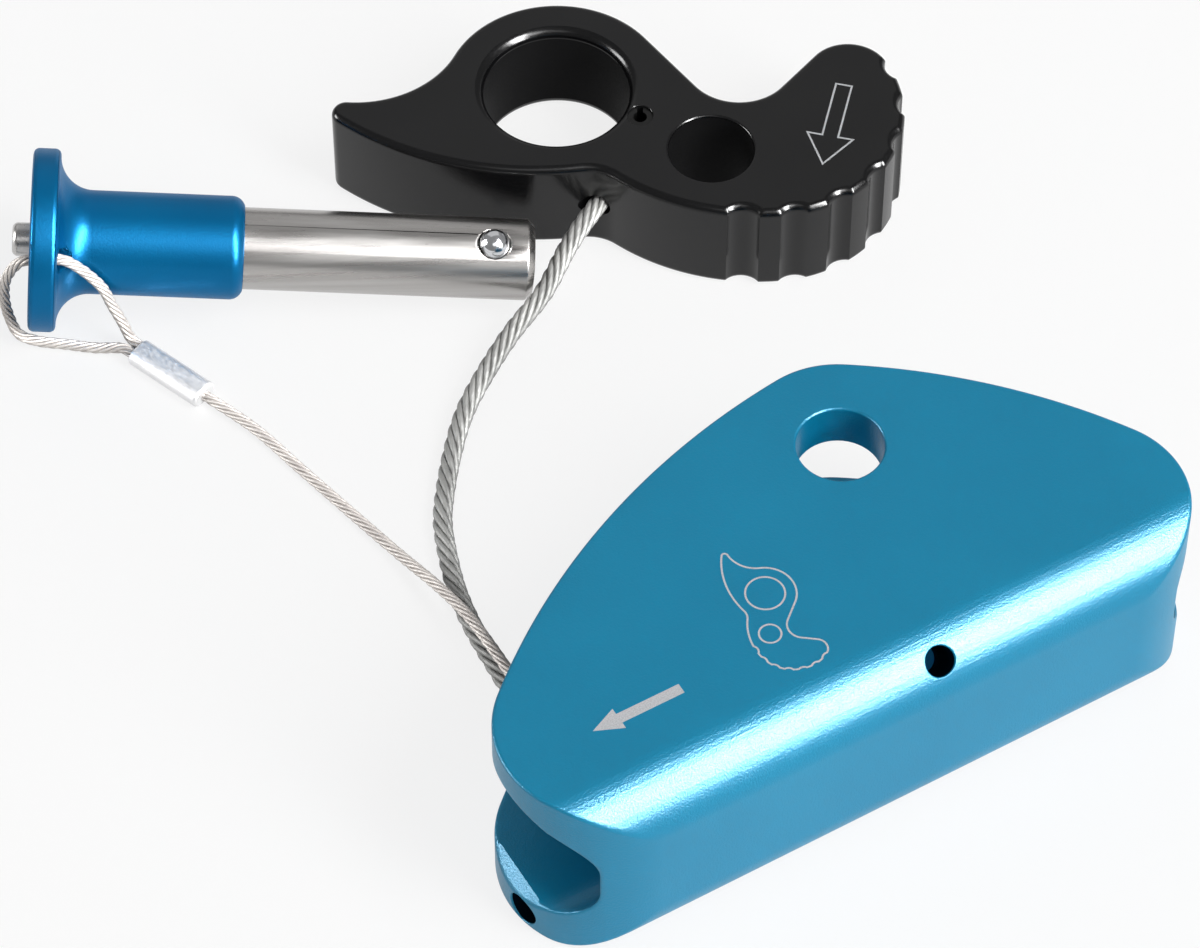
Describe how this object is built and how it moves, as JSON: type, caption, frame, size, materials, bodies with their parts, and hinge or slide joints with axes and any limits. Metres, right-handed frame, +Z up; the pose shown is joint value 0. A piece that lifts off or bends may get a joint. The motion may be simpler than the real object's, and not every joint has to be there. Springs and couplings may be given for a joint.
{
  "type": "rope grab",
  "caption": "Rope grab laid out in pieces: U-shaped shell for the rope, toothed cam with a connector eye and a ball-lock pin, tied together by wire tethers.",
  "frame": {"origin": "centre of the shell's pin hole, at the underside of the shell on the table", "axes": "+Z up from the table along the pin hole; +X along the rope channel, towards the end without the tethers; +Y from the wall of the channel towards the pin hole"},
  "size_m": [0.1053, 0.1221, 0.026],
  "materials": {
    "blue_shell": "satin blue anodised",
    "blue_handle": "satin blue anodised",
    "black_cam": "satin black anodised",
    "steel": "turned stainless steel",
    "polished_steel": "polished",
    "wire_rope": "stranded galvanised wire",
    "bright_aluminium": "bright pressed"
  },
  "bodies": {
    "shell": {"shell": "blue_shell", "tether_anchor": "steel", "cam_tether": "wire_rope"},
    "cam": {"cam": "black_cam", "cam_set_pin": "steel", "cam_tether_fitting": "steel"},
    "pin": {"pin_handle": "blue_handle", "pin_sleeve": "steel", "pin_tether": "wire_rope", "tether_loop": "wire_rope", "crimp_ferrule": "bright_aluminium", "return_spring": "steel"},
    "plunger": {"push_button": "steel", "spindle": "steel"},
    "ball_upper": {"ball_upper": "polished_steel"},
    "ball_lower": {"ball_lower": "polished_steel"}
  },
  "joints": [
    {"name": "cam_turn", "type": "hinge", "parent": "shell", "child": "cam", "pos_m": [0.0158, 0.0528, 0.0065], "axis": [0, 0, 1], "range_deg": [-30, 0], "deforming": ["cam_tether"]},
    {"name": "pin_swing", "type": "hinge", "parent": "shell", "child": "pin", "pos_m": [-0.0387, -0.005, 0], "axis": [0, 0, 1], "range_deg": [0, 25]},
    {"name": "button_press", "type": "slide", "parent": "pin", "child": "plunger", "axis": [0.8708, -0.4827, -0.0935], "range_m": [0, 0.002], "stiffness_N_per_m": 600, "springref_m": -0.003, "deforming": ["return_spring"]},
    {"name": "ball_upper_in", "type": "slide", "parent": "pin", "child": "ball_upper", "axis": [0.0737, 0.3163, -0.9458], "range_m": [0, 0.00135]},
    {"name": "ball_lower_in", "type": "slide", "parent": "pin", "child": "ball_lower", "axis": [-0.0737, -0.3163, 0.9458], "range_m": [0, 0.00135]}
  ],
  "couplings": [
    {"joint": "ball_upper_in", "follows": "button_press", "ratio": 0.675},
    {"joint": "ball_lower_in", "follows": "button_press", "ratio": 0.675}
  ]
}
